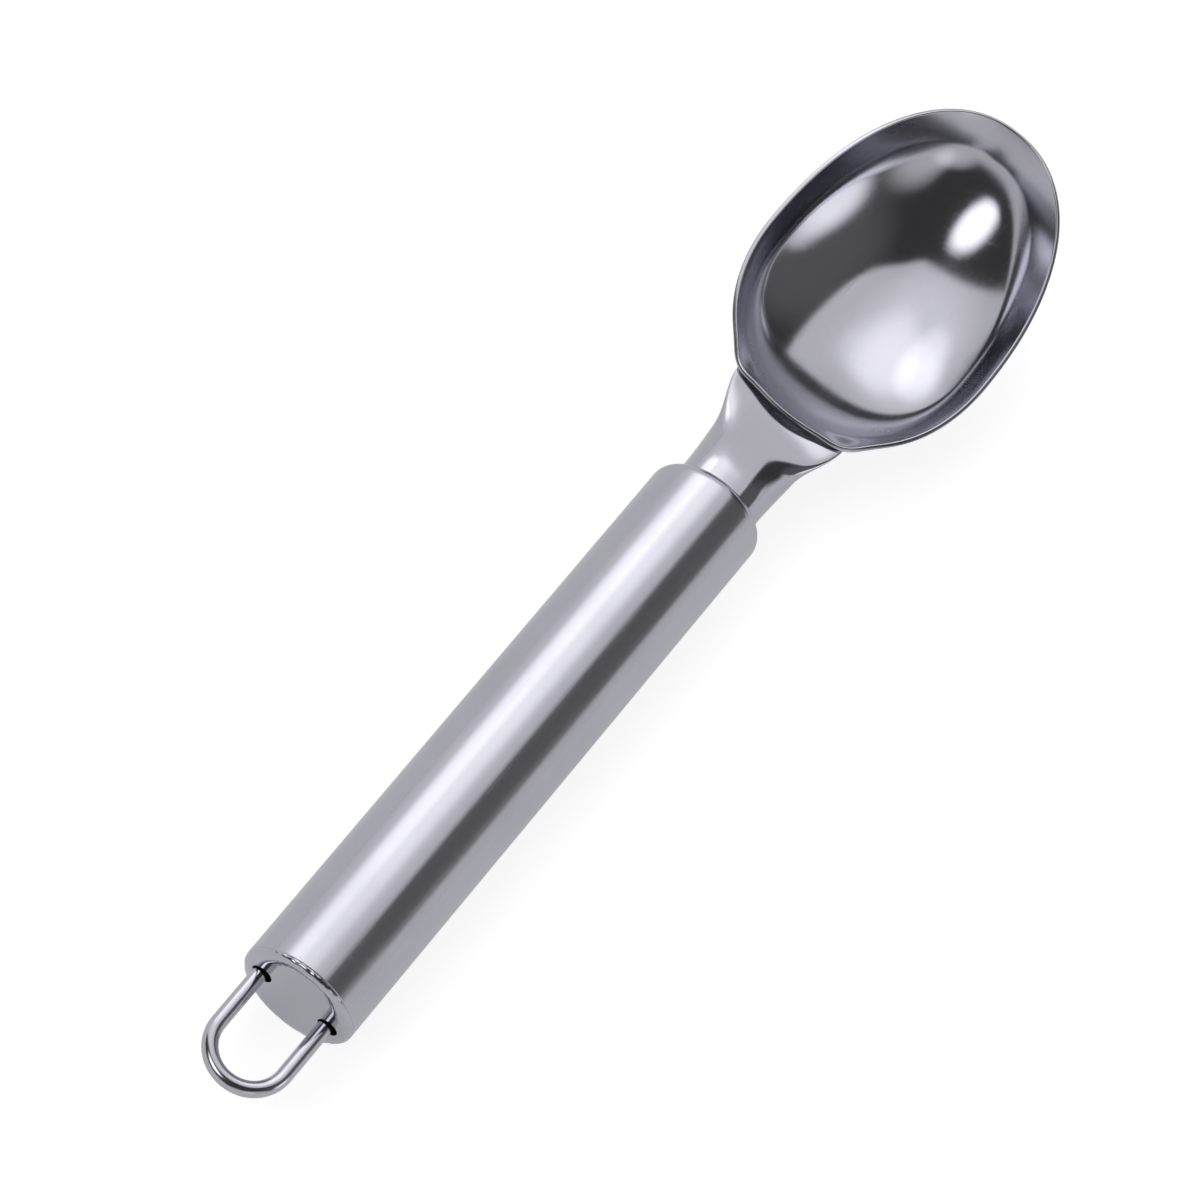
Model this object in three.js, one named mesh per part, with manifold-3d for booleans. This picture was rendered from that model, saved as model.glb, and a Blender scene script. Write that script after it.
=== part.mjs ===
// Stainless steel ice cream scoop: a pressed bowl brazed to a solid neck, a drawn tube handle with a
// welded end cap, and a wire hanging loop whose legs slide in two holes of the cap.
// Millimetres, +Z up. The handle's axis runs along X towards the bowl, the bowl opens upwards and
// the scoop lies on Z = 0, with its middle above the origin.

import * as THREE from 'three';
import { mergeVertices } from 'three/addons/utils/BufferGeometryUtils.js';
import Module from 'manifold-3d';

// Handle tube, measured from the cap's outer face to the tube's front face
const HANDLE_DIAMETER = 20;
const HANDLE_LENGTH = 111.7;
const TUBE_WALL = 0.8;
const FRONT_ROUNDING = 2.5;

// End cap
const CAP_THICKNESS = 1.2;
const CAP_EDGE_WIDTH = 2.2;
const SKIRT_LENGTH = 3;
const SKIRT_WALL = 0.6;
const SKIRT_CLEARANCE = 0.15;

// Hanging loop
const WIRE_DIAMETER = 2.6;
const LEG_INSET = 3.7; // from the handle's surface to a leg's axis
const LEG_HOLE_CLEARANCE = 0.7;
const LOOP_REACH = 18; // from the cap's face to the outer end of the loop
const LEG_GAP = 0.3; // the least gap round a leg, as the loop lies loosely in its holes
const LOOP_LEAN = -45; // degrees, the way in which it lies off the middle of them
const FOOT_BEND_RADIUS = 2.6;
const FOOT_LENGTH = 1;

// Neck
const NECK_DIAMETER = 14.8;
const NECK_SQUARENESS = 2.7; // 2 is a round section
const NECK_LENGTH = 19.3; // from the handle's front face to the bowl's rim
const TANG_DIAMETER = 11;
const TANG_LENGTH = 25;
const TANG_CLEARANCE = 0.3;
const FLARE_START = 2; // from the handle's front face to where the neck begins to widen
const FLARE_LENGTH = 18;
const FLARE_WIDTH = 0.8; // added to each side of the neck
const BELLY_RISE = 2; // taken off the underside of the neck
const SADDLE_DROP = 5.4; // taken off the top of the neck between its horns
const HORN_START = 9; // from the handle's front face to where the horns begin
const HORN_LENGTH = 13;
const HORN_SPREAD = 4.4; // added to each side of the neck's top
const HORN_DROP = 0.9; // from the rim at the neck down to the horns' tops
const BRAZE_GAP = 0.3;

// Bowl, inside sizes
const MOUTH_LENGTH = 63.94;
const MOUTH_WIDTH = 42.8;
const MOUTH_WIDEST = 25.57; // from the rim at the neck to the widest place
const MOUTH_SQUARENESS = 2.178; // 2 is an ellipse
const SHOULDER_REACH = 1; // how far the rim stands out of its egg shape beside the neck
const SHOULDER_ANGLE = 19; // degrees, to each side of the neck
const SHOULDER_SPREAD = 6; // degrees
const SHOULDER_FADE = 0.8; // share of the mouth's size at which the shoulders are gone
const BOWL_DEPTH = 14.6;
const POCKET_SHIFT = 5; // from the middle of the mouth to the deepest place, towards the tip
const SHEET = 0.8;
const LIP_WIDTH = 3.4;
const LIP_DEPTH = 7.2;
const CREASE_REACH = 2.6; // how far the soft crease runs up the lip and down the wall
const WALL_SLOPE = 39; // degrees, where the pocket's wall leaves the crease
const POCKET_FULLNESS = 0.64; // about 0.64 rounds the pocket as a circle does, and more is fuller
const RIM_RISE = 3.6; // from the handle's axis up to the rim at the neck
const BOWL_TILT = 8; // degrees, the tip is raised

// Fineness of the round forms
const TURN_STEPS = 48;
const ROUNDING_STEPS = 5;
const WIRE_SIDES = 12;
const WIRE_STEP = 1.2;
const NECK_SIDES = 40;
const NECK_STATIONS = 16;
const MOUTH_STEPS = 64;
const LIP_STEPS = 2;
const CREASE_STEPS = 4;
const POCKET_STEPS = 10;

// Values that follow from the sizes above
const handleRadius = HANDLE_DIAMETER / 2;
const boreRadius = handleRadius - TUBE_WALL;
const neckRadius = NECK_DIAMETER / 2;
const tangRadius = TANG_DIAMETER / 2;
const wireRadius = WIRE_DIAMETER / 2;
const legOffset = handleRadius - LEG_INSET;
const legSlack = LEG_HOLE_CLEARANCE - LEG_GAP;
const leanAngle = THREE.MathUtils.degToRad(LOOP_LEAN);
const frontRounding = Math.min(FRONT_ROUNDING, handleRadius - neckRadius);
const saddleRise = neckRadius - SADDLE_DROP;
const cornerShare = 0.5 ** (1 / NECK_SQUARENESS); // how far out the corners of the neck's section are
const hornHeight = (RIM_RISE - HORN_DROP - saddleRise * cornerShare) / cornerShare ** 2;
const rimX = HANDLE_LENGTH + NECK_LENGTH;

const wasm = await Module();
wasm.setup();

function solidOf(geometry) {
  const bare = geometry.clone();
  bare.deleteAttribute('normal');
  bare.deleteAttribute('uv');
  const merged = mergeVertices(bare);
  return new wasm.Manifold(
    new wasm.Mesh({
      numProp: 3,
      vertProperties: new Float32Array(merged.attributes.position.array),
      triVerts: new Uint32Array(merged.index.array),
    }),
  );
}

function geometryOf(solid) {
  const mesh = solid.getMesh();
  const geometry = new THREE.BufferGeometry();
  geometry.setAttribute('position', new THREE.BufferAttribute(new Float32Array(mesh.vertProperties), 3));
  geometry.setIndex(new THREE.BufferAttribute(new Uint32Array(mesh.triVerts), 1));
  geometry.computeVertexNormals();
  return geometry;
}

// A closed skin over rings of equal point counts, with a point in front of the first ring and
// another behind the last. Seen from behind the last ring, the points run anticlockwise.
function skinOver(rings, firstPoint, lastPoint) {
  const count = rings[0].length;
  const points = [firstPoint, ...rings.flat(), lastPoint];
  const lastIndex = points.length - 1;
  const triangles = [];
  for (let i = 0; i < count; i += 1) {
    const j = (i + 1) % count;
    triangles.push(0, 1 + j, 1 + i);
    for (let ring = 0; ring < rings.length - 1; ring += 1) {
      const here = 1 + ring * count;
      const next = here + count;
      triangles.push(here + i, here + j, next + j);
      triangles.push(here + i, next + j, next + i);
    }
    triangles.push(lastIndex, lastIndex - count + i, lastIndex - count + j);
  }
  const geometry = new THREE.BufferGeometry().setFromPoints(points);
  geometry.setIndex(triangles);
  geometry.computeVertexNormals();
  return geometry;
}

// An anticlockwise profile of (distance along the handle, radius) points, turned about the
// handle's axis. A flat of the turned form faces down.
function turnedForm(profile) {
  const lathePoints = profile.map((point) => new THREE.Vector2(point.y, point.x)).reverse();
  const flatDown = Math.PI / TURN_STEPS;
  const geometry = new THREE.LatheGeometry(lathePoints, TURN_STEPS, flatDown);
  geometry.rotateZ(-Math.PI / 2);
  return geometry;
}

function handleTube() {
  const outline = new THREE.Path();
  const front = HANDLE_LENGTH;
  const innerRounding = Math.max(frontRounding - TUBE_WALL, TUBE_WALL / 2);
  const holeRadius = tangRadius + TANG_CLEARANCE;
  const inFront = front - TUBE_WALL;
  outline.moveTo(CAP_THICKNESS, boreRadius);
  outline.lineTo(inFront - innerRounding, boreRadius);
  outline.absarc(inFront - innerRounding, boreRadius - innerRounding, innerRounding, Math.PI / 2, 0, true);
  outline.lineTo(inFront, holeRadius);
  outline.lineTo(front, holeRadius);
  outline.lineTo(front, handleRadius - frontRounding);
  outline.absarc(front - frontRounding, handleRadius - frontRounding, frontRounding, 0, Math.PI / 2);
  outline.lineTo(CAP_THICKNESS, handleRadius);
  outline.closePath();
  return turnedForm(outline.getPoints(ROUNDING_STEPS));
}

function endCap() {
  const skirtRadius = boreRadius - SKIRT_CLEARANCE;
  const skirtEnd = CAP_THICKNESS + SKIRT_LENGTH;
  const flatRadius = handleRadius - CAP_EDGE_WIDTH;
  const outline = new THREE.Path();
  outline.moveTo(CAP_THICKNESS, 0);
  outline.lineTo(CAP_THICKNESS, skirtRadius - SKIRT_WALL);
  outline.lineTo(skirtEnd, skirtRadius - SKIRT_WALL);
  outline.lineTo(skirtEnd, skirtRadius);
  outline.lineTo(CAP_THICKNESS, skirtRadius);
  outline.lineTo(CAP_THICKNESS, handleRadius);
  outline.absellipse(CAP_THICKNESS, flatRadius, CAP_THICKNESS, CAP_EDGE_WIDTH, Math.PI / 2, Math.PI);
  outline.lineTo(0, 0);
  const cap = turnedForm(outline.getPoints(ROUNDING_STEPS));

  const holeRadius = wireRadius + LEG_HOLE_CLEARANCE;
  const drillLength = 2 * (skirtEnd + CAP_THICKNESS);
  const drill = new THREE.CylinderGeometry(holeRadius, holeRadius, drillLength, 2 * WIRE_SIDES);
  drill.rotateZ(Math.PI / 2);
  let solid = solidOf(cap);
  for (const side of [1, -1]) {
    const hole = drill.clone().translate(0, side * legOffset, 0);
    solid = solid.subtract(solidOf(hole));
  }
  return geometryOf(solid);
}

// A curve in the plane of the loop, from a flat path.
class WireCurve extends THREE.Curve {
  constructor(path) {
    super();
    this.path = path;
  }

  getPoint(share) {
    const point = this.path.getPoint(share);
    return new THREE.Vector3(point.x, point.y, 0);
  }
}

// The loop as it lies fully out: its legs bend into feet just behind the cap.
function hangingLoop() {
  const bendX = -(LOOP_REACH - wireRadius - legOffset);
  const footBendX = CAP_THICKNESS;
  const footX = footBendX + FOOT_BEND_RADIUS;
  const footY = legOffset - FOOT_BEND_RADIUS;
  const quarter = Math.PI / 2;
  const path = new THREE.Path();
  path.moveTo(footX, footY - FOOT_LENGTH);
  path.lineTo(footX, footY);
  path.absarc(footBendX, footY, FOOT_BEND_RADIUS, 0, quarter);
  path.lineTo(bendX, legOffset);
  path.absarc(bendX, 0, legOffset, quarter, 3 * quarter);
  path.lineTo(footBendX, -legOffset);
  path.absarc(footBendX, -footY, FOOT_BEND_RADIUS, -quarter, 0);
  path.lineTo(footX, FOOT_LENGTH - footY);

  const section = new THREE.Shape();
  section.absarc(0, 0, wireRadius, 0, 2 * Math.PI);
  return new THREE.ExtrudeGeometry(section, {
    curveSegments: WIRE_SIDES,
    steps: Math.round(path.getLength() / WIRE_STEP),
    extrudePath: new WireCurve(path),
  });
}

// The mouth's outline about the middle of its length, at an angle from its tip and at a share of its
// size: an egg shape that has a soft shoulder on each side of the neck at full size.
function mouthPoint(angle, share) {
  const power = 2 / MOUTH_SQUARENESS;
  const along = Math.cos(angle);
  const across = Math.sin(angle);
  const reach = along > 0 ? MOUTH_LENGTH - MOUTH_WIDEST : MOUTH_WIDEST;
  const point = new THREE.Vector2(
    MOUTH_WIDEST - MOUTH_LENGTH / 2 + reach * Math.sign(along) * Math.abs(along) ** power,
    (MOUTH_WIDTH / 2) * Math.sign(across) * Math.abs(across) ** power,
  );
  const fromNeck = THREE.MathUtils.radToDeg(Math.atan2(Math.abs(point.y), -point.x));
  const nearness = Math.exp(-(((fromNeck - SHOULDER_ANGLE) / SHOULDER_SPREAD) ** 2));
  const shoulder = SHOULDER_REACH * nearness * THREE.MathUtils.smoothstep(share, SHOULDER_FADE, 1);
  point.setLength(point.length() + shoulder).multiplyScalar(share);
  point.x += POCKET_SHIFT * (1 - share);
  return point;
}

// The inside of the bowl at its side, as (half width, depth) points from the rim to the bottom: a
// straight lip, a soft crease and a round pocket.
function bowlProfile() {
  const slope = THREE.MathUtils.degToRad(WALL_SLOPE);
  const rim = new THREE.Vector2(MOUTH_WIDTH / 2, 0);
  const crease = new THREE.Vector2(rim.x - LIP_WIDTH, LIP_DEPTH);
  const bottom = new THREE.Vector2(0, BOWL_DEPTH);
  const downWall = new THREE.Vector2(-Math.cos(slope), Math.sin(slope));
  const upLip = rim.clone().sub(crease).normalize();
  const creaseTop = crease.clone().addScaledVector(upLip, CREASE_REACH);
  const creaseFoot = crease.clone().addScaledVector(downWall, CREASE_REACH);
  const cornerReach = Math.min((BOWL_DEPTH - creaseFoot.y) / Math.tan(slope), creaseFoot.x);
  const corner = new THREE.Vector2(creaseFoot.x - cornerReach, BOWL_DEPTH);
  const wallHandle = creaseFoot.clone().lerp(corner, POCKET_FULLNESS);
  const floorHandle = bottom.clone().lerp(corner, POCKET_FULLNESS);

  const lip = new THREE.LineCurve(rim, creaseTop);
  const bend = new THREE.QuadraticBezierCurve(creaseTop, crease, creaseFoot);
  const pocket = new THREE.CubicBezierCurve(creaseFoot, wallHandle, floorHandle, bottom);
  return [
    ...lip.getPoints(LIP_STEPS),
    ...bend.getPoints(CREASE_STEPS).slice(1),
    ...pocket.getPoints(POCKET_STEPS).slice(1, -1),
  ];
}

// Rings of the bowl's inner face, from the rim down, each with its normals out of the bowl. The
// rim lies in the plane z = 0 and the bowl hangs below it.
function bowlRings() {
  const profile = bowlProfile();
  const rings = profile.map(({ x: halfWidth, y: depth }) =>
    Array.from({ length: MOUTH_STEPS }, (_, i) => {
      const { x, y } = mouthPoint((2 * Math.PI * i) / MOUTH_STEPS, halfWidth / (MOUTH_WIDTH / 2));
      return new THREE.Vector3(x, y, -depth);
    }),
  );
  const floor = new THREE.Vector3(POCKET_SHIFT, 0, -BOWL_DEPTH);
  const normals = rings.map((ring, r) =>
    ring.map((point, i) => {
      const above = r > 0 ? rings[r - 1][i] : point;
      const below = r < rings.length - 1 ? rings[r + 1][i] : floor;
      const before = ring[(i + MOUTH_STEPS - 1) % MOUTH_STEPS];
      const after = ring[(i + 1) % MOUTH_STEPS];
      const down = below.clone().sub(above);
      const round = after.clone().sub(before);
      return down.cross(round).normalize();
    }),
  );
  return { rings, normals, floor };
}

const { rings: innerRings, normals: innerNormals, floor: innerFloor } = bowlRings();

// The bowl's inner face moved outwards by a distance, with its edge cut square to the sheet.
function bowlOffset(distance) {
  return innerRings.map((ring, r) =>
    ring.map((point, i) => point.clone().addScaledVector(innerNormals[r][i], distance)),
  );
}

function bowl() {
  const outerRings = bowlOffset(SHEET);
  const outerFloor = innerFloor.clone().setZ(innerFloor.z - SHEET);
  return skinOver([...outerRings.reverse(), ...innerRings], outerFloor, innerFloor);
}

// The space that the bowl takes, with the gap for its brazing and with the air above its mouth.
function bowlSpace() {
  const airHeight = MOUTH_WIDTH / 2;
  const outerRings = bowlOffset(SHEET + BRAZE_GAP);
  const outerFloor = innerFloor.clone().setZ(innerFloor.z - SHEET - BRAZE_GAP);
  const topRing = outerRings[0].map((point) => point.clone().setZ(airHeight));
  const top = new THREE.Vector3(0, 0, airHeight);
  return skinOver([...outerRings.reverse(), topRing], outerFloor, top);
}

// The bowl's place: its rim meets the neck's end and its tip is raised.
const bowlTilt = -THREE.MathUtils.degToRad(BOWL_TILT);
const rimNearNeck = Math.min(...bowlOffset(SHEET)[0].map((point) => point.x));
const bowlPosition = new THREE.Vector3(-rimNearNeck, 0, 0)
  .applyAxisAngle(new THREE.Vector3(0, 1, 0), bowlTilt)
  .add(new THREE.Vector3(rimX, 0, RIM_RISE));

// A section of the neck at a distance from the handle's front face: a rounded square at the handle,
// whose top spreads into a saddle with a horn on each side.
function neckSection(distance) {
  const flare = THREE.MathUtils.smoothstep(distance, FLARE_START, FLARE_START + FLARE_LENGTH);
  const hornGrowth = THREE.MathUtils.smoothstep(distance, HORN_START, HORN_START + HORN_LENGTH);
  const halfWidth = neckRadius + FLARE_WIDTH * flare;
  const above = neckRadius - SADDLE_DROP * flare;
  const below = neckRadius - BELLY_RISE * flare;
  const power = 2 / NECK_SQUARENESS;
  return Array.from({ length: NECK_SIDES }, (_, i) => {
    const angle = (2 * Math.PI * i) / NECK_SIDES;
    const across = Math.sign(Math.cos(angle)) * Math.abs(Math.cos(angle)) ** power;
    const up = Math.sign(Math.sin(angle)) * Math.abs(Math.sin(angle)) ** power;
    const horn = hornGrowth * THREE.MathUtils.smoothstep(up, 0, cornerShare);
    const y = (halfWidth + HORN_SPREAD * horn) * across;
    const z = (up > 0 ? above : below) * up + hornHeight * horn * across ** 2;
    return new THREE.Vector3(HANDLE_LENGTH + distance, y, z);
  });
}

function neck() {
  const reach = NECK_LENGTH + MOUTH_WIDEST; // runs on under the bowl, which cuts it off
  const sections = Array.from({ length: NECK_STATIONS + 1 }, (_, i) =>
    neckSection((reach * i) / NECK_STATIONS),
  );
  const start = new THREE.Vector3(HANDLE_LENGTH, 0, 0);
  const end = new THREE.Vector3(HANDLE_LENGTH + reach, 0, 0);
  const stem = solidOf(skinOver(sections, start, end));

  const space = bowlSpace();
  space.rotateY(bowlTilt);
  space.translate(bowlPosition.x, bowlPosition.y, bowlPosition.z);

  const tangReach = TANG_LENGTH + neckRadius; // runs on into the stem
  const tang = new THREE.CylinderGeometry(tangRadius, tangRadius, tangReach, NECK_SIDES);
  tang.rotateZ(Math.PI / 2);
  tang.translate(HANDLE_LENGTH - TANG_LENGTH + tangReach / 2, 0, 0);
  return geometryOf(stem.subtract(solidOf(space)).add(solidOf(tang)));
}

const polishedSteel = new THREE.MeshStandardMaterial({ color: 0xc9c9d0, roughness: 0.08, metalness: 1 });
const satinSteel = new THREE.MeshStandardMaterial({ color: 0xbfbfc6, roughness: 0.32, metalness: 1 });
const brightWire = new THREE.MeshStandardMaterial({ color: 0xcfcfd4, roughness: 0.14, metalness: 1 });

function piece(name, geometry, material) {
  const mesh = new THREE.Mesh(geometry, material);
  mesh.name = name;
  return mesh;
}

const bowlMesh = piece('bowl', bowl(), polishedSteel);
bowlMesh.rotation.y = bowlTilt;
bowlMesh.position.copy(bowlPosition);

const loopMesh = piece('hanging_loop', hangingLoop(), brightWire);
loopMesh.position.set(0, legSlack * Math.cos(leanAngle), legSlack * Math.sin(leanAngle));

const scoop = new THREE.Group();
scoop.add(
  bowlMesh,
  piece('neck', neck(), polishedSteel),
  piece('handle_tube', handleTube(), satinSteel),
  piece('end_cap', endCap(), polishedSteel),
  loopMesh,
);

// The scoop lies on the plane z = 0 with the middle of its box above the origin.
const box = new THREE.Box3().setFromObject(scoop, true);
const middle = box.getCenter(new THREE.Vector3());
scoop.position.set(-middle.x, -middle.y, -box.min.z);

const part = new THREE.Group();
part.add(scoop);

export default part;
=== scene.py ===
"""Looks of a stainless steel ice cream scoop: fine surfaces, finishes, floor, light and camera.

Metres. The frame's handle axis runs along X towards the bowl, and the bowl opens upwards.
"""

import math

import bmesh
import bpy
import numpy as np
from mathutils import Matrix, Vector, noise


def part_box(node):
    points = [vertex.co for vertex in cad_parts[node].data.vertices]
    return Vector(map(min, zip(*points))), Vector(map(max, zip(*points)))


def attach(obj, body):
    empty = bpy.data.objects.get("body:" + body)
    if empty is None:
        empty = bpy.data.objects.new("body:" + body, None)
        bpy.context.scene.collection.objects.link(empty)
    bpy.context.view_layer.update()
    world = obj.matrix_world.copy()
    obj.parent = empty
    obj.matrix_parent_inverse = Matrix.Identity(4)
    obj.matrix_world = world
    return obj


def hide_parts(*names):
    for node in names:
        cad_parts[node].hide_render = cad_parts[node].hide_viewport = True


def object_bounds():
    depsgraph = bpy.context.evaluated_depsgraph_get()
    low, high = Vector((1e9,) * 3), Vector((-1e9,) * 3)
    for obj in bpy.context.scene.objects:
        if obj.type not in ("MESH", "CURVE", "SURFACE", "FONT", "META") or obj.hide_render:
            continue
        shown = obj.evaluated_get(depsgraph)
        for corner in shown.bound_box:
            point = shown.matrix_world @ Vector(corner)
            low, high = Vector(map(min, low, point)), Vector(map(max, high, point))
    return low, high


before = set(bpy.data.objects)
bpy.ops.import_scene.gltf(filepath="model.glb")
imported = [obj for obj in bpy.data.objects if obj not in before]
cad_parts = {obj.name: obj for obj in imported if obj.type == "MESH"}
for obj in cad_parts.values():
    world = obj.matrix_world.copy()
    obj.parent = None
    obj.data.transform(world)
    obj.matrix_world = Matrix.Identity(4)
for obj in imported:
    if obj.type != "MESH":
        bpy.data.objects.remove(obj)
cad_low, cad_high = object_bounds()

# Handle tube
HANDLE_RADIUS = 0.0100
HANDLE_LENGTH = 0.1117
TUBE_WALL = 0.0008
FRONT_ROUNDING = 0.0025
SEAM_CHAMFER = 0.00012

# End cap
CAP_THICKNESS = 0.0012
CAP_EDGE_WIDTH = 0.0022
CAP_SKIRT_LENGTH = 0.0030
CAP_SKIRT_WALL = 0.0006
CAP_SKIRT_CLEARANCE = 0.00015
CAP_UNEVENNESS = 0.00022
CAP_UNEVENNESS_SCALE = 9

# Hanging loop
WIRE_RADIUS = 0.0013
LEG_OFFSET = 0.0063
LEG_HOLE_RADIUS = 0.00178
LOOP_REACH = 0.0180
FOOT_BEND_RADIUS = 0.0026
FOOT_LENGTH = 0.0010

# Neck
NECK_RADIUS = 0.0074
NECK_SQUARENESS = 2.7
NECK_LENGTH = 0.0193
TANG_RADIUS = 0.0055
TANG_LENGTH = 0.0250
TANG_CLEARANCE = 0.0003
FLARE_START = 0.002
FLARE_LENGTH = 0.018
FLARE_WIDTH = 0.0008
BELLY_RISE = 0.002
SADDLE_DROP = 0.0054
HORN_START = 0.009
HORN_LENGTH = 0.013
HORN_SPREAD = 0.0044
HORN_DROP = 0.0009
BRAZE_GAP = 0.00005

# Bowl, inside sizes
MOUTH_LENGTH = 0.06416
MOUTH_WIDTH = 0.04278
MOUTH_WIDEST = 0.02557
MOUTH_SQUARENESS = 2.178
SHOULDER_REACH = 0.0010
SHOULDER_ANGLE = 19
SHOULDER_SPREAD = 6
SHOULDER_FADE = 0.94
BOWL_DEPTH = 0.0146
POCKET_SHIFT = 0.005
SHEET = 0.0008
LIP_DEPTH = 0.0072

# The lip at the neck, the sides and the tip: its width, how far its soft crease runs, and its bulge
NEAR_LIP = (0.0040, 0.0055, 0.0)
SIDE_LIP = (0.0025, 0.0012, -0.0003)
TIP_LIP = (0.0044, 0.0026, 0.0003)

# The bowl's wall below the lip, and how the bowl sits
WALL_SLOPE = 39
POCKET_FULLNESS = 0.64
RIM_RISE = 0.0036
RIM_ROUNDING = 0.00025
BOWL_TILT = 8

# Fineness
TURN_STEPS = 192
OUTER_STEPS = 16
INNER_STEPS = 8
CAP_EDGE_STEPS = 14
LIP_STEPS = 16
CREASE_STEPS = 16
POCKET_STEPS = 56
RIM_STEPS = 5
MOUTH_STEPS = 288
NECK_SIDES = 144
NECK_STATIONS = 96
WIRE_SIDES = 32
WIRE_STEP = 0.0004
SHARP_ANGLE = math.radians(32)

# The photograph's camera: it looks at a point given from the middle of the handle's end
LENS = 180.934
SENSOR = 36.0
CLIP_START = 0.01
CAMERA_TARGET = (0.085727, 0.003667, 0.0)
CAMERA_DISTANCE = 0.941581
CAMERA_AZIMUTH = 273.762
CAMERA_ELEVATION = 61.2
CAMERA_ROLL = 35.836

# Finishes: roughness, streaks and their depth, waves and their depth. Streaks, waves, patches and
# scratches are given as detail per metre along X, Y and Z.
POLISHED = (0.11, (700, 1800, 1800), 1e-7, (130, 130, 130), 6e-6)
SATIN = (0.18, (12, 2600, 2600), 5e-6, (15, 300, 300), 6e-6)
BRIGHT = (0.12, (900, 900, 2500), 1e-6, (300, 300, 300), 3e-6)
STEEL_COLOUR = (0.555, 0.555, 0.612)
WIRE_COLOUR = (0.575, 0.575, 0.630)
TINT_SPREAD = 0.05
PATCHES = (70, 90, 90)
PATCH_EDGE = (0.35, 0.75)
ROUGH_DETAIL = 3.0
SMOOTH_DETAIL = 1.0
SCRATCHES = ((60, 2500, 900), (1800, 110, 700))
SCRATCH_EDGE = (0.70, 0.74)
SCRATCH_DEPTH = 5e-8
ROUGHNESS_STREAKS = 0.06
ROUGHNESS_PATCHES = 0.04
ROUGHNESS_SCRATCHES = 0.05

# The bowl's lip is less polished than its pocket, with a soft change at the crease
LIP_ROUGHNESS = 0.085
LIP_BLUR = 0.001

# Floor
FLOOR_REACH = 6.0
FLOOR_GAP = 0.0001
FLOOR_COLOUR = (0.50, 0.50, 0.51)
FLOOR_ROUGHNESS = 0.9
FLOOR_LIFT = 0.80
FLOOR_MIRRORED_LIFT = 0.38

# Light, as brightness. The soft box overhead lies in a level plane. Each of its three edges has a
# place, a slant and a blur, given as distances per unit of height, along X or along Y. The pale band
# at floor level is shaded at one place, given by its azimuth, elevation, and inner and outer angle.
LIGHT_COLOUR = (1.0, 0.99, 1.0)
ROOM_LEVEL = 0.05
BOX_LEVEL = 0.68
BOX_HORIZON = (0.0, 0.1)
LOWEST_HEIGHT = 0.02
BOX_NEAR = (0.04, 0.8, 0.07)
BOX_LEFT = (-0.04, 0.0, 0.05)
BOX_RIGHT = (-0.37, 0.03, 0.04)
BAND_LEVEL = 0.64
BAND_TOP = 0.30
BAND_BLUR = 0.05
BAND_GAP = (-20, 9, 7, 27)

# Glows, each with its level, azimuth from +X to +Y, elevation, and inner and outer angle
GLOWS = (
    (0.7, 52, 36, 2, 17),
    (0.25, 45, 48, 5, 40),
    (0.45, 28, 48, 3, 22),
    (1.2, -80, 20, 4, 17),
    (0.55, -122, 23, 3, 24),
    (0.6, -148, 12, 6, 26),
    (0.08, -60, 36, 8, 40),
    (2.0, 141, 51, 8, 20),
)

# Places from the frame
cap_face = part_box("end_cap")[0].x
tube_low, tube_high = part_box("handle_tube")
axis_height = (tube_low.z + tube_high.z) / 2
loop_low, loop_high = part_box("hanging_loop")
loop_middle = (loop_low + loop_high) / 2
handle_end = Vector((cap_face, 0.0, axis_height))
handle_front = HANDLE_LENGTH


def smooth_step(value, start, end):
    """0 before start, 1 after end and an even bend between them."""
    share = np.clip((value - start) / (end - start), 0, 1)
    return share * share * (3 - 2 * share)


# Meshes


def new_object(name, points, faces, offset):
    """A mesh object from points given from offset."""
    mesh = bpy.data.meshes.new(name)
    placed = [tuple(Vector(point) + offset) for point in points]
    mesh.from_pydata(placed, [], faces)
    mesh.validate()
    bm = bmesh.new()
    bm.from_mesh(mesh)
    bmesh.ops.recalc_face_normals(bm, faces=bm.faces)
    bm.to_mesh(mesh)
    bm.free()
    made = bpy.data.objects.new(name, mesh)
    bpy.context.scene.collection.objects.link(made)
    return made


def ring_skin(rings, first_point=None, last_point=None, closed=False):
    """Points and faces of a skin over rings of equal point counts."""
    count = len(rings[0])
    points = [tuple(point) for ring in rings for point in ring]
    faces = []
    spans = len(rings) if closed else len(rings) - 1
    for ring in range(spans):
        here = ring * count
        there = ((ring + 1) % len(rings)) * count
        for i in range(count):
            j = (i + 1) % count
            faces.append((here + i, here + j, there + j, there + i))
    for tip, start in ((first_point, 0), (last_point, (len(rings) - 1) * count)):
        if tip is not None:
            points.append(tuple(tip))
            for i in range(count):
                faces.append((start + i, start + (i + 1) % count, len(points) - 1))
    return points, faces


def cut(piece, tool):
    """Cuts the tool's space out of the piece and removes the tool."""
    modifier = piece.modifiers.new("cut", "BOOLEAN")
    modifier.operation = "DIFFERENCE"
    modifier.solver = "EXACT"
    modifier.object = tool
    evaluated = piece.evaluated_get(bpy.context.evaluated_depsgraph_get())
    mesh = bpy.data.meshes.new_from_object(evaluated)
    piece.modifiers.clear()
    piece.data = mesh
    bpy.data.objects.remove(tool)


def finish_piece(piece, node, body, material):
    """Smooths the piece, gives it its finish and lets it stand for a node of the frame."""
    piece.data.materials.clear()
    piece.data.materials.append(material)
    piece.data.shade_smooth()
    piece.data.set_sharp_from_angle(angle=SHARP_ANGLE)
    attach(piece, body)
    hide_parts(node)


def arc_points(centre, radii, start, end, steps):
    """Points of an ellipse's arc, angles in degrees."""
    angles = np.radians(np.linspace(start, end, steps + 1))
    return [(centre[0] + radii[0] * math.cos(a), centre[1] + radii[1] * math.sin(a)) for a in angles]


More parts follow.
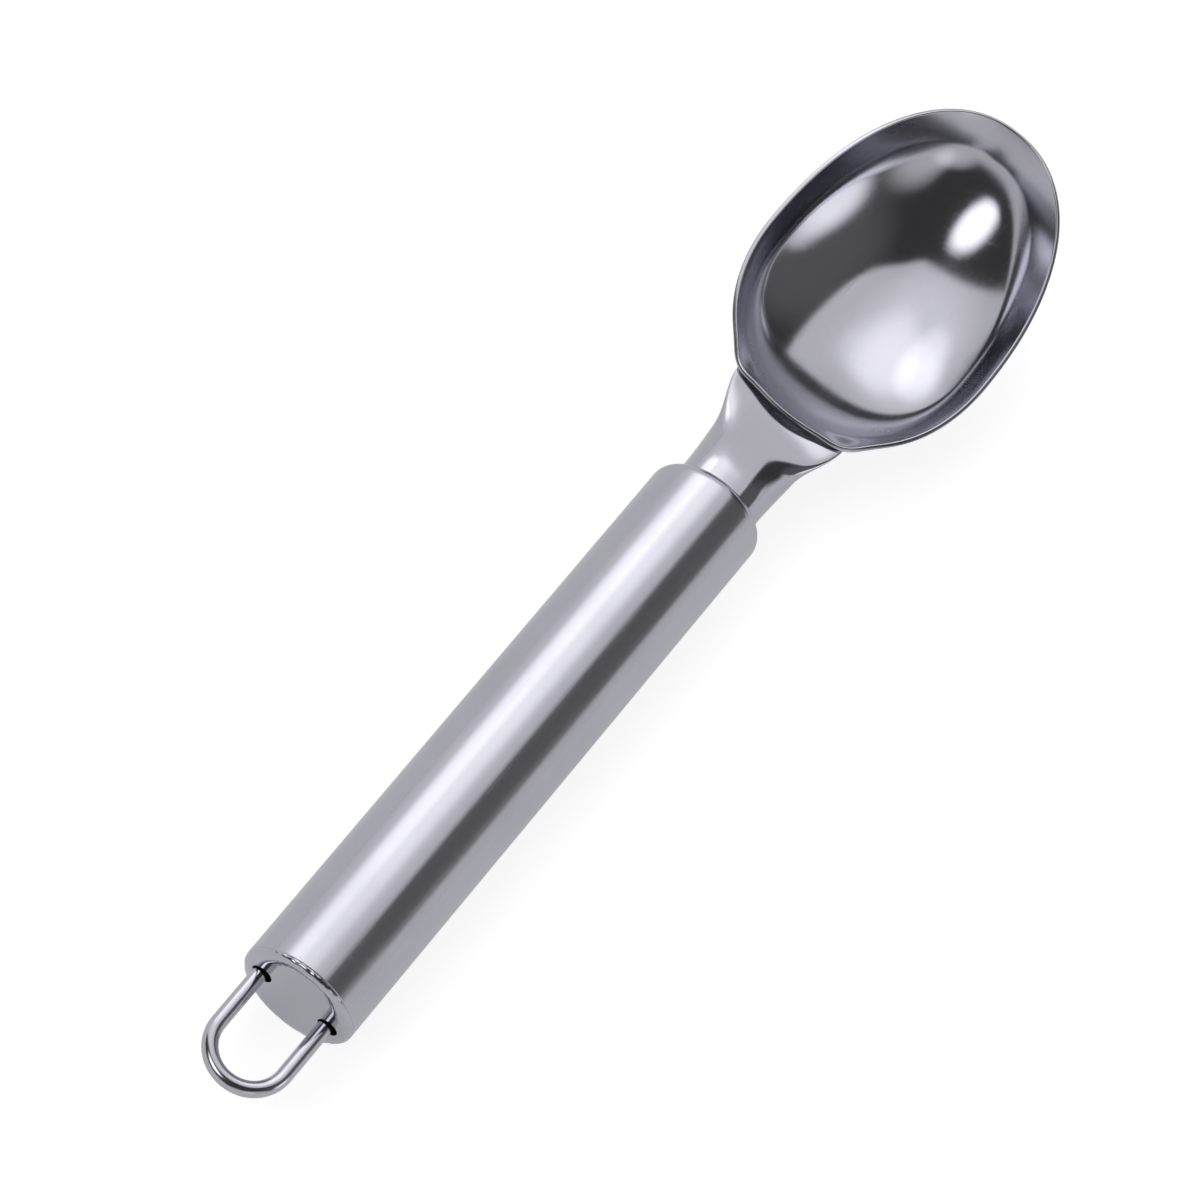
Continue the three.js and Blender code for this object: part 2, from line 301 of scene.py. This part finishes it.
def turned_rings(profile, unevenness=None):
    """Rings about the handle's axis over (distance, radius) points."""
    rings = []
    for distance, radius in profile:
        ring = []
        for step in range(TURN_STEPS):
            angle = 2 * math.pi * step / TURN_STEPS
            grown = radius + (unevenness(distance, radius, angle) if unevenness else 0.0)
            ring.append((distance, grown * math.cos(angle), grown * math.sin(angle)))
        rings.append(ring)
    return rings


# Handle


def make_handle(material):
    bore = HANDLE_RADIUS - TUBE_WALL
    hole = TANG_RADIUS + TANG_CLEARANCE
    inner_rounding = FRONT_ROUNDING - TUBE_WALL
    inner_front = handle_front - TUBE_WALL
    outer_centre = (handle_front - FRONT_ROUNDING, HANDLE_RADIUS - FRONT_ROUNDING)
    inner_centre = (inner_front - inner_rounding, bore - inner_rounding)
    rear = CAP_THICKNESS
    profile = [(rear, bore), (rear, HANDLE_RADIUS - SEAM_CHAMFER), (rear + SEAM_CHAMFER, HANDLE_RADIUS)]
    profile += arc_points(outer_centre, (FRONT_ROUNDING, FRONT_ROUNDING), 90, 0, OUTER_STEPS)
    profile += [(handle_front, hole), (inner_front, hole)]
    profile += arc_points(inner_centre, (inner_rounding, inner_rounding), 0, 90, INNER_STEPS)
    points, faces = ring_skin(turned_rings(profile), closed=True)
    handle = new_object("scoop_handle", points, faces, handle_end)
    finish_piece(handle, "handle_tube", "scoop", material)
    return handle


# End cap


def make_end_cap(material):
    skirt = HANDLE_RADIUS - TUBE_WALL - CAP_SKIRT_CLEARANCE
    skirt_end = CAP_THICKNESS + CAP_SKIRT_LENGTH
    flat = HANDLE_RADIUS - CAP_EDGE_WIDTH

    def unevenness(distance, radius, angle):
        if radius < flat or distance > CAP_THICKNESS - SEAM_CHAMFER:
            return 0.0
        place = Vector((math.cos(angle), math.sin(angle), distance / HANDLE_RADIUS))
        place *= CAP_UNEVENNESS_SCALE
        return -CAP_UNEVENNESS * abs(noise.noise(place))

    profile = [(CAP_THICKNESS, skirt - CAP_SKIRT_WALL), (skirt_end, skirt - CAP_SKIRT_WALL)]
    profile += [(skirt_end, skirt), (CAP_THICKNESS, skirt)]
    profile += [(CAP_THICKNESS, HANDLE_RADIUS - SEAM_CHAMFER)]
    edge = (CAP_THICKNESS - SEAM_CHAMFER, flat)
    profile += arc_points(edge, (CAP_THICKNESS - SEAM_CHAMFER, CAP_EDGE_WIDTH), 90, 180, CAP_EDGE_STEPS)
    back = (CAP_THICKNESS, 0.0, 0.0)
    face = (0.0, 0.0, 0.0)
    points, faces = ring_skin(turned_rings(profile, unevenness), back, face)
    cap = new_object("scoop_end_cap", points, faces, handle_end)
    for side in (1, -1):
        ends = (-2 * CAP_THICKNESS, 2 * CAP_THICKNESS)
        rings = []
        for distance in ends:
            angles = np.linspace(0, 2 * np.pi, 2 * WIRE_SIDES, endpoint=False)
            ring = [
                (distance, side * LEG_OFFSET + LEG_HOLE_RADIUS * math.cos(a), LEG_HOLE_RADIUS * math.sin(a))
                for a in angles
            ]
            rings.append(ring)
        tips = [(distance, side * LEG_OFFSET, 0.0) for distance in ends]
        points, faces = ring_skin(rings, *tips)
        cut(cap, new_object("leg_drill", points, faces, handle_end))
    finish_piece(cap, "end_cap", "scoop", material)
    return cap


# Hanging loop


def loop_path():
    """Points of the wire's middle line in the plane of the loop, from foot to foot."""
    bend = -(LOOP_REACH - WIRE_RADIUS - LEG_OFFSET)
    foot = CAP_THICKNESS
    foot_side = LEG_OFFSET - FOOT_BEND_RADIUS

    def line(start, end):
        length = math.dist(start, end)
        steps = max(2, round(length / WIRE_STEP))
        return [tuple(np.array(start) + (np.array(end) - start) * i / steps) for i in range(steps)]

    def arc(centre, radius, start, end):
        steps = max(8, round(radius * math.radians(abs(end - start)) / WIRE_STEP))
        return arc_points(centre, (radius, radius), start, end, steps)[:-1]

    path = line((foot + FOOT_BEND_RADIUS, foot_side - FOOT_LENGTH), (foot + FOOT_BEND_RADIUS, foot_side))
    path += arc((foot, foot_side), FOOT_BEND_RADIUS, 0, 90)
    path += line((foot, LEG_OFFSET), (bend, LEG_OFFSET))
    path += arc((bend, 0.0), LEG_OFFSET, 90, 270)
    path += line((bend, -LEG_OFFSET), (foot, -LEG_OFFSET))
    path += arc((foot, -foot_side), FOOT_BEND_RADIUS, -90, 0)
    path += line((foot + FOOT_BEND_RADIUS, -foot_side), (foot + FOOT_BEND_RADIUS, FOOT_LENGTH - foot_side))
    path.append((foot + FOOT_BEND_RADIUS, FOOT_LENGTH - foot_side))
    return np.array(path)


def make_loop(material):
    path = loop_path()
    ahead = np.gradient(path, axis=0)
    ahead /= np.linalg.norm(ahead, axis=1)[:, None]
    rings = []
    for (x, y), (dx, dy) in zip(path, ahead):
        ring = []
        for step in range(WIRE_SIDES):
            angle = 2 * math.pi * step / WIRE_SIDES
            out = WIRE_RADIUS * math.cos(angle)
            ring.append((x - dy * out, y + dx * out, WIRE_RADIUS * math.sin(angle)))
        rings.append(ring)
    tips = [(x, y, 0.0) for x, y in (path[0], path[-1])]
    points, faces = ring_skin(rings, *tips)
    place = Vector((cap_face, loop_middle.y, loop_middle.z))
    loop = new_object("scoop_loop", points, faces, place)
    finish_piece(loop, "hanging_loop", "loop", material)
    return loop


# Bowl


def mouth_outline(share):
    """The mouth's outline at a share of its size, as points about the middle of its length."""
    angle = np.linspace(0, 2 * np.pi, MOUTH_STEPS, endpoint=False)
    power = 2 / MOUTH_SQUARENESS
    along = np.cos(angle)
    across = np.sin(angle)
    reach = np.where(along > 0, MOUTH_LENGTH - MOUTH_WIDEST, MOUTH_WIDEST)
    x = MOUTH_WIDEST - MOUTH_LENGTH / 2 + reach * np.sign(along) * np.abs(along) ** power
    y = MOUTH_WIDTH / 2 * np.sign(across) * np.abs(across) ** power
    from_neck = np.degrees(np.arctan2(np.abs(y), -x))
    nearness = np.exp(-(((from_neck - SHOULDER_ANGLE) / SHOULDER_SPREAD) ** 2))
    shoulder = SHOULDER_REACH * nearness * smooth_step(share, SHOULDER_FADE, 1)
    length = np.hypot(x, y)
    grown = share * (length + shoulder) / length
    return x * grown + POCKET_SHIFT * (1 - share), y * grown


def bezier(points, steps):
    """Points of a Bezier curve, without its last one."""
    shares = np.linspace(0, 1, steps + 1)[:-1, None]
    rows = [np.repeat(np.array([point], float), steps, 0) for point in points]
    while len(rows) > 1:
        rows = [a + (b - a) * shares for a, b in zip(rows, rows[1:])]
    return rows[0]


def bowl_profile(lip_width, crease_reach, lip_bulge):
    """The bowl's inside at its side, as (half width, depth) points from the rim to the bottom."""
    slope = math.radians(WALL_SLOPE)
    rim = np.array((MOUTH_WIDTH / 2, 0.0))
    crease = np.array((MOUTH_WIDTH / 2 - lip_width, LIP_DEPTH))
    bottom = np.array((0.0, BOWL_DEPTH))
    down_wall = np.array((-math.cos(slope), math.sin(slope)))
    up_lip = (rim - crease) / np.linalg.norm(rim - crease)
    crease_top = crease + crease_reach * up_lip
    crease_foot = crease + crease_reach * down_wall
    corner_reach = min((BOWL_DEPTH - crease_foot[1]) / math.tan(slope), crease_foot[0])
    corner = np.array((crease_foot[0] - corner_reach, BOWL_DEPTH))
    wall_handle = crease_foot + POCKET_FULLNESS * (corner - crease_foot)
    floor_handle = bottom + POCKET_FULLNESS * (corner - bottom)
    bulge = (rim + crease_top) / 2 + lip_bulge * np.array((up_lip[1], -up_lip[0]))
    lip = bezier((rim, bulge, crease_top), LIP_STEPS)
    bend = bezier((crease_top, crease, crease_foot), CREASE_STEPS)
    pocket = bezier((crease_foot, wall_handle, floor_handle, bottom), POCKET_STEPS)
    return np.vstack((lip, bend, pocket))


def bowl_surface():
    """Rings of the bowl's inner face from the rim down, with normals out of the bowl."""
    angle = np.linspace(0, 2 * np.pi, MOUTH_STEPS, endpoint=False)
    nearness = np.clip(-np.cos(angle), 0, 1) ** 2
    tipness = np.where(np.cos(angle) > 0, 1 - np.sin(angle) ** 4, 0)
    near, side, tip = (bowl_profile(*lip) for lip in (NEAR_LIP, SIDE_LIP, TIP_LIP))
    rings = []
    for at_near, at_side, at_tip in zip(near, side, tip):
        half_width, depth = (
            a + (b - a) * nearness + (c - a) * tipness for a, b, c in zip(at_side, at_near, at_tip)
        )
        x, y = mouth_outline(half_width / (MOUTH_WIDTH / 2))
        rings.append(np.column_stack((x, y, -depth)))
    rings = np.array(rings)
    floor = np.array((POCKET_SHIFT, 0.0, -BOWL_DEPTH))
    above = np.concatenate((rings[:1], rings[:-1]))
    below = np.concatenate((rings[1:], np.broadcast_to(floor, rings[:1].shape)))
    around = np.roll(rings, -1, axis=1) - np.roll(rings, 1, axis=1)
    normals = np.cross(below - above, around)
    normals /= np.linalg.norm(normals, axis=2)[:, :, None]
    return rings, normals, floor


inner_rings, inner_normals, inner_floor = bowl_surface()


def bowl_offset(distance):
    """The bowl's inner face moved outwards, with its edge cut square to the sheet."""
    return inner_rings + inner_normals * distance


def place_bowl(points):
    """Turns points of the upright bowl to where it sits on the neck."""
    turn = Matrix.Rotation(-math.radians(BOWL_TILT), 3, "Y")
    near_rim = Vector((bowl_offset(SHEET)[0][:, 0].min(), 0.0, 0.0))
    rim = Vector((HANDLE_LENGTH + NECK_LENGTH, 0.0, RIM_RISE))
    return [turn @ (Vector(point) - near_rim) + rim for point in points]


def rounded_rim(outer_rings):
    """Rings over the cut edge of the sheet, from the outer lip to the inner lip."""
    inside, outside = inner_rings[0], outer_rings[0]
    down_in = inner_rings[1] - inside
    down_in /= np.linalg.norm(down_in, axis=1)[:, None]
    down_out = outer_rings[1] - outside
    down_out /= np.linalg.norm(down_out, axis=1)[:, None]
    across = outside - inside
    across /= np.linalg.norm(across, axis=1)[:, None]
    rings = []
    corners = (
        (outside, outside + RIM_ROUNDING * down_out, outside - RIM_ROUNDING * across),
        (inside, inside + RIM_ROUNDING * across, inside + RIM_ROUNDING * down_in),
    )
    for corner, start, end in corners:
        for share in np.linspace(0, 1, RIM_STEPS):
            rings.append(start * (1 - share) ** 2 + 2 * corner * share * (1 - share) + end * share**2)
    return rings


def make_bowl(material):
    outer_rings = bowl_offset(SHEET)
    outer_floor = inner_floor - (0, 0, SHEET)
    rings = [*outer_rings[:0:-1], *rounded_rim(outer_rings), *inner_rings[1:]]
    points, faces = ring_skin(rings, outer_floor, inner_floor)
    bowl = new_object("scoop_bowl", place_bowl(points), faces, handle_end)
    finish_piece(bowl, "bowl", "scoop", material)
    return bowl


# Neck


def neck_section(distance):
    """A ring of the neck at a distance from the handle's front face."""
    flare = smooth_step(distance, FLARE_START, FLARE_START + FLARE_LENGTH)
    horn_growth = smooth_step(distance, HORN_START, HORN_START + HORN_LENGTH)
    corner = 0.5 ** (1 / NECK_SQUARENESS)
    saddle_rise = NECK_RADIUS - SADDLE_DROP
    horn_height = (RIM_RISE - HORN_DROP - saddle_rise * corner) / corner**2
    angle = 2 * np.pi * (np.arange(NECK_SIDES) + 0.5) / NECK_SIDES
    across = np.sign(np.cos(angle)) * np.abs(np.cos(angle)) ** (2 / NECK_SQUARENESS)
    up = np.sign(np.sin(angle)) * np.abs(np.sin(angle)) ** (2 / NECK_SQUARENESS)
    horn = horn_growth * smooth_step(up, 0, corner)
    y = (NECK_RADIUS + FLARE_WIDTH * flare + HORN_SPREAD * horn) * across
    above = NECK_RADIUS - SADDLE_DROP * flare
    below = NECK_RADIUS - BELLY_RISE * flare
    z = np.where(up > 0, above, below) * up + horn_height * horn * across**2
    return np.column_stack((np.full_like(y, handle_front + distance), y, z))


def tang_section(distance):
    angle = 2 * np.pi * (np.arange(NECK_SIDES) + 0.5) / NECK_SIDES
    x = np.full_like(angle, handle_front + distance)
    return np.column_stack((x, TANG_RADIUS * np.cos(angle), TANG_RADIUS * np.sin(angle)))


def make_neck(material):
    reach = NECK_LENGTH + MOUTH_WIDEST
    rings = [tang_section(-TANG_LENGTH), tang_section(0.0)]
    rings += [neck_section(reach * i / NECK_STATIONS) for i in range(NECK_STATIONS + 1)]
    start = (handle_front - TANG_LENGTH, 0.0, 0.0)
    end = (handle_front + reach, 0.0, 0.0)
    points, faces = ring_skin(rings, start, end)
    neck = new_object("scoop_neck", points, faces, handle_end)

    air = MOUTH_WIDTH / 2
    space_rings = bowl_offset(SHEET + BRAZE_GAP)
    top_ring = space_rings[0] * (1, 1, 0) + (0, 0, air)
    space_floor = inner_floor - (0, 0, SHEET + BRAZE_GAP)
    points, faces = ring_skin([*space_rings[::-1], top_ring], space_floor, (0.0, 0.0, air))
    cut(neck, new_object("bowl_space", place_bowl(points), faces, handle_end))
    finish_piece(neck, "neck", "scoop", material)
    return neck


# Finishes


def math_node(tree, operation, *values):
    """A Math node's result. Numbers are set on its sockets, and other values are linked."""
    node = tree.nodes.new("ShaderNodeMath")
    node.operation = operation
    for socket, value in zip(node.inputs, values):
        if isinstance(value, (int, float)):
            socket.default_value = value
        else:
            tree.links.new(value, socket)
    return node.outputs[0]


def soft_edge(tree, value, start, end):
    """0 up to start, 1 from end on, with a smooth edge between them. End may be below start."""
    node = tree.nodes.new("ShaderNodeMapRange")
    node.interpolation_type = "SMOOTHSTEP"
    node.inputs["From Min"].default_value = min(start, end)
    node.inputs["From Max"].default_value = max(start, end)
    node.inputs["To Min"].default_value = 0.0 if start < end else 1.0
    node.inputs["To Max"].default_value = 1.0 if start < end else 0.0
    tree.links.new(value, node.inputs["Value"])
    return node.outputs["Result"]


def product(tree, *values):
    result = values[0]
    for value in values[1:]:
        result = math_node(tree, "MULTIPLY", result, value)
    return result


def stretched_noise(tree, stretch, detail):
    """Noise over the piece, stretch being its detail per metre along each axis."""
    coordinates = tree.nodes.new("ShaderNodeTexCoord")
    mapping = tree.nodes.new("ShaderNodeMapping")
    mapping.inputs["Scale"].default_value = stretch
    tree.links.new(coordinates.outputs["Object"], mapping.inputs["Vector"])
    texture = tree.nodes.new("ShaderNodeTexNoise")
    texture.inputs["Scale"].default_value = 1.0
    texture.inputs["Detail"].default_value = detail
    tree.links.new(mapping.outputs["Vector"], texture.inputs["Vector"])
    return texture.outputs["Fac"]


def bump(tree, height, distance, before=None):
    node = tree.nodes.new("ShaderNodeBump")
    node.inputs["Strength"].default_value = 1.0
    node.inputs["Distance"].default_value = distance
    tree.links.new(height, node.inputs["Height"])
    if before:
        tree.links.new(before, node.inputs["Normal"])
    return node.outputs["Normal"]


def lip_zone(tree):
    """1 on the bowl's lip and 0 in its pocket."""
    crease, rim = place_bowl([(0, 0, -LIP_DEPTH), (0, 0, 0)])
    up = (rim - crease).normalized()
    level = up.dot(handle_end + crease)
    coordinates = tree.nodes.new("ShaderNodeTexCoord")
    node = tree.nodes.new("ShaderNodeVectorMath")
    node.operation = "DOT_PRODUCT"
    tree.links.new(coordinates.outputs["Object"], node.inputs[0])
    node.inputs[1].default_value = up
    return soft_edge(tree, node.outputs["Value"], level - LIP_BLUR, level + LIP_BLUR)


def steel(name, colour, roughness, streaks, streak_depth, waves, wave_depth, zone=None):
    """Steel with polishing streaks, slow waves from forming it, dull patches and hairline scratches."""
    material = bpy.data.materials.new(name)
    material.use_nodes = True
    tree = material.node_tree
    shader = tree.nodes["Principled BSDF"]
    shader.inputs["Metallic"].default_value = 1

    streak = stretched_noise(tree, streaks, ROUGH_DETAIL)
    wave = stretched_noise(tree, waves, SMOOTH_DETAIL)
    patch = soft_edge(tree, stretched_noise(tree, PATCHES, ROUGH_DETAIL), *PATCH_EDGE)
    scratches = []
    for stretch in SCRATCHES:
        lines = stretched_noise(tree, stretch, SMOOTH_DETAIL)
        scratches.append(soft_edge(tree, lines, *SCRATCH_EDGE))
    scratch = math_node(tree, "MAXIMUM", *scratches)

    dull = math_node(tree, "MULTIPLY_ADD", streak, ROUGHNESS_STREAKS, roughness - ROUGHNESS_STREAKS / 2)
    dull = math_node(tree, "MULTIPLY_ADD", patch, ROUGHNESS_PATCHES, dull)
    dull = math_node(tree, "MULTIPLY_ADD", scratch, ROUGHNESS_SCRATCHES, dull)
    if zone:
        dull = math_node(tree, "MULTIPLY_ADD", zone(tree), LIP_ROUGHNESS, dull)
    tree.links.new(dull, shader.inputs["Roughness"])

    tint = tree.nodes.new("ShaderNodeMix")
    tint.data_type = "RGBA"
    tint.inputs["A"].default_value = (*[part * (1 - TINT_SPREAD) for part in colour], 1)
    tint.inputs["B"].default_value = (*[part * (1 + TINT_SPREAD) for part in colour], 1)
    shade = math_node(tree, "MULTIPLY_ADD", math_node(tree, "SUBTRACT", streak, patch), 0.5, 0.5)
    tree.links.new(shade, tint.inputs["Factor"])
    tree.links.new(tint.outputs["Result"], shader.inputs["Base Color"])

    normal = bump(tree, wave, wave_depth)
    normal = bump(tree, streak, streak_depth, normal)
    normal = bump(tree, math_node(tree, "SUBTRACT", 1, scratch), SCRATCH_DEPTH, normal)
    tree.links.new(normal, shader.inputs["Normal"])
    return material


polished = steel("polished_steel", STEEL_COLOUR, *POLISHED)
pressed = steel("pressed_steel", STEEL_COLOUR, *POLISHED, lip_zone)
satin = steel("satin_steel", STEEL_COLOUR, *SATIN)
wire = steel("bright_wire", WIRE_COLOUR, *BRIGHT)

make_handle(satin)
make_end_cap(polished)
make_loop(wire)
make_bowl(pressed)
make_neck(polished)


# Floor, light and camera


def direction(azimuth, elevation):
    """A unit vector, with the azimuth in degrees from +X towards +Y."""
    turn, rise = math.radians(azimuth), math.radians(elevation)
    return Vector((math.cos(turn) * math.cos(rise), math.sin(turn) * math.cos(rise), math.sin(rise)))


def make_floor():
    mesh = bpy.data.meshes.new("floor")
    corners = [(-FLOOR_REACH, -FLOOR_REACH, 0), (FLOOR_REACH, -FLOOR_REACH, 0)]
    corners += [(FLOOR_REACH, FLOOR_REACH, 0), (-FLOOR_REACH, FLOOR_REACH, 0)]
    mesh.from_pydata(corners, [], [(0, 1, 2, 3)])
    floor = bpy.data.objects.new("floor", mesh)
    floor.location.z = cad_low.z - FLOOR_GAP
    bpy.context.scene.collection.objects.link(floor)
    material = bpy.data.materials.new("pale_floor")
    material.use_nodes = True
    tree = material.node_tree
    shader = tree.nodes["Principled BSDF"]
    shader.inputs["Base Color"].default_value = (*FLOOR_COLOUR, 1)
    shader.inputs["Roughness"].default_value = FLOOR_ROUGHNESS
    shader.inputs["Specular IOR Level"].default_value = 0.0
    shader.inputs["Emission Color"].default_value = (1, 1, 1, 1)
    path = tree.nodes.new("ShaderNodeLightPath")
    indirect = path.outputs["Is Glossy Ray"], path.outputs["Is Transmission Ray"]
    mirrored = math_node(tree, "MAXIMUM", *indirect)
    lift = math_node(tree, "MULTIPLY", mirrored, FLOOR_MIRRORED_LIFT)
    lift = math_node(tree, "MULTIPLY_ADD", path.outputs["Is Camera Ray"], FLOOR_LIFT, lift)
    tree.links.new(lift, shader.inputs["Emission Strength"])
    mesh.materials.append(material)


def make_world():
    """A dim room with a pale band round the floor and a wide soft box overhead."""
    world = bpy.data.worlds.new("studio")
    bpy.context.scene.world = world
    world.use_nodes = True
    tree = world.node_tree
    coordinates = tree.nodes.new("ShaderNodeTexCoord")
    split = tree.nodes.new("ShaderNodeSeparateXYZ")
    tree.links.new(coordinates.outputs["Generated"], split.inputs[0])
    x, y, z = split.outputs
    height = math_node(tree, "MAXIMUM", z, LOWEST_HEIGHT)
    along = math_node(tree, "DIVIDE", x, height)
    across = math_node(tree, "DIVIDE", y, height)

    def box_edge(ahead, aside, place, slant, blur):
        edge = math_node(tree, "MULTIPLY_ADD", aside, slant, ahead)
        return soft_edge(tree, edge, place - blur, place + blur)

    box = product(
        tree,
        box_edge(along, across, *BOX_NEAR),
        box_edge(along, across, *BOX_LEFT),
        box_edge(across, along, *BOX_RIGHT),
        soft_edge(tree, z, *BOX_HORIZON),
    )
    light = math_node(tree, "MULTIPLY_ADD", box, BOX_LEVEL, ROOM_LEVEL)

    def spot(azimuth, elevation, inner, outer):
        node = tree.nodes.new("ShaderNodeVectorMath")
        node.operation = "DOT_PRODUCT"
        tree.links.new(coordinates.outputs["Generated"], node.inputs[0])
        node.inputs[1].default_value = direction(azimuth, elevation)
        edges = math.cos(math.radians(outer)), math.cos(math.radians(inner))
        return soft_edge(tree, node.outputs["Value"], *edges)

    for level, *place in GLOWS:
        light = math_node(tree, "MULTIPLY_ADD", spot(*place), level, light)
    band = soft_edge(tree, z, BAND_TOP + BAND_BLUR, BAND_TOP - BAND_BLUR)
    shaded = math_node(tree, "SUBTRACT", band, spot(*BAND_GAP))
    band_light = math_node(tree, "MULTIPLY", shaded, BAND_LEVEL)
    light = math_node(tree, "MAXIMUM", light, band_light)
    background = tree.nodes["Background"]
    background.inputs["Color"].default_value = (*LIGHT_COLOUR, 1)
    tree.links.new(light, background.inputs["Strength"])


def make_camera():
    data = bpy.data.cameras.new("camera")
    data.lens = LENS
    data.sensor_width = SENSOR
    data.clip_start = CLIP_START
    camera = bpy.data.objects.new("camera", data)
    bpy.context.scene.collection.objects.link(camera)
    azimuth = math.radians(CAMERA_AZIMUTH)
    elevation = math.radians(CAMERA_ELEVATION)
    level = math.cos(elevation)
    back = Vector((math.sin(azimuth) * level, -math.cos(azimuth) * level, math.sin(elevation)))
    target = handle_end + Vector(CAMERA_TARGET)
    roll = Matrix.Rotation(math.radians(CAMERA_ROLL), 3, "Z")
    turn = (-back).to_track_quat("-Z", "Y").to_matrix() @ roll
    camera.matrix_world = Matrix.Translation(target + back * CAMERA_DISTANCE) @ turn.to_4x4()
    bpy.context.scene.camera = camera


make_floor()
make_world()
make_camera()
bpy.context.scene.view_settings.view_transform = "Standard"
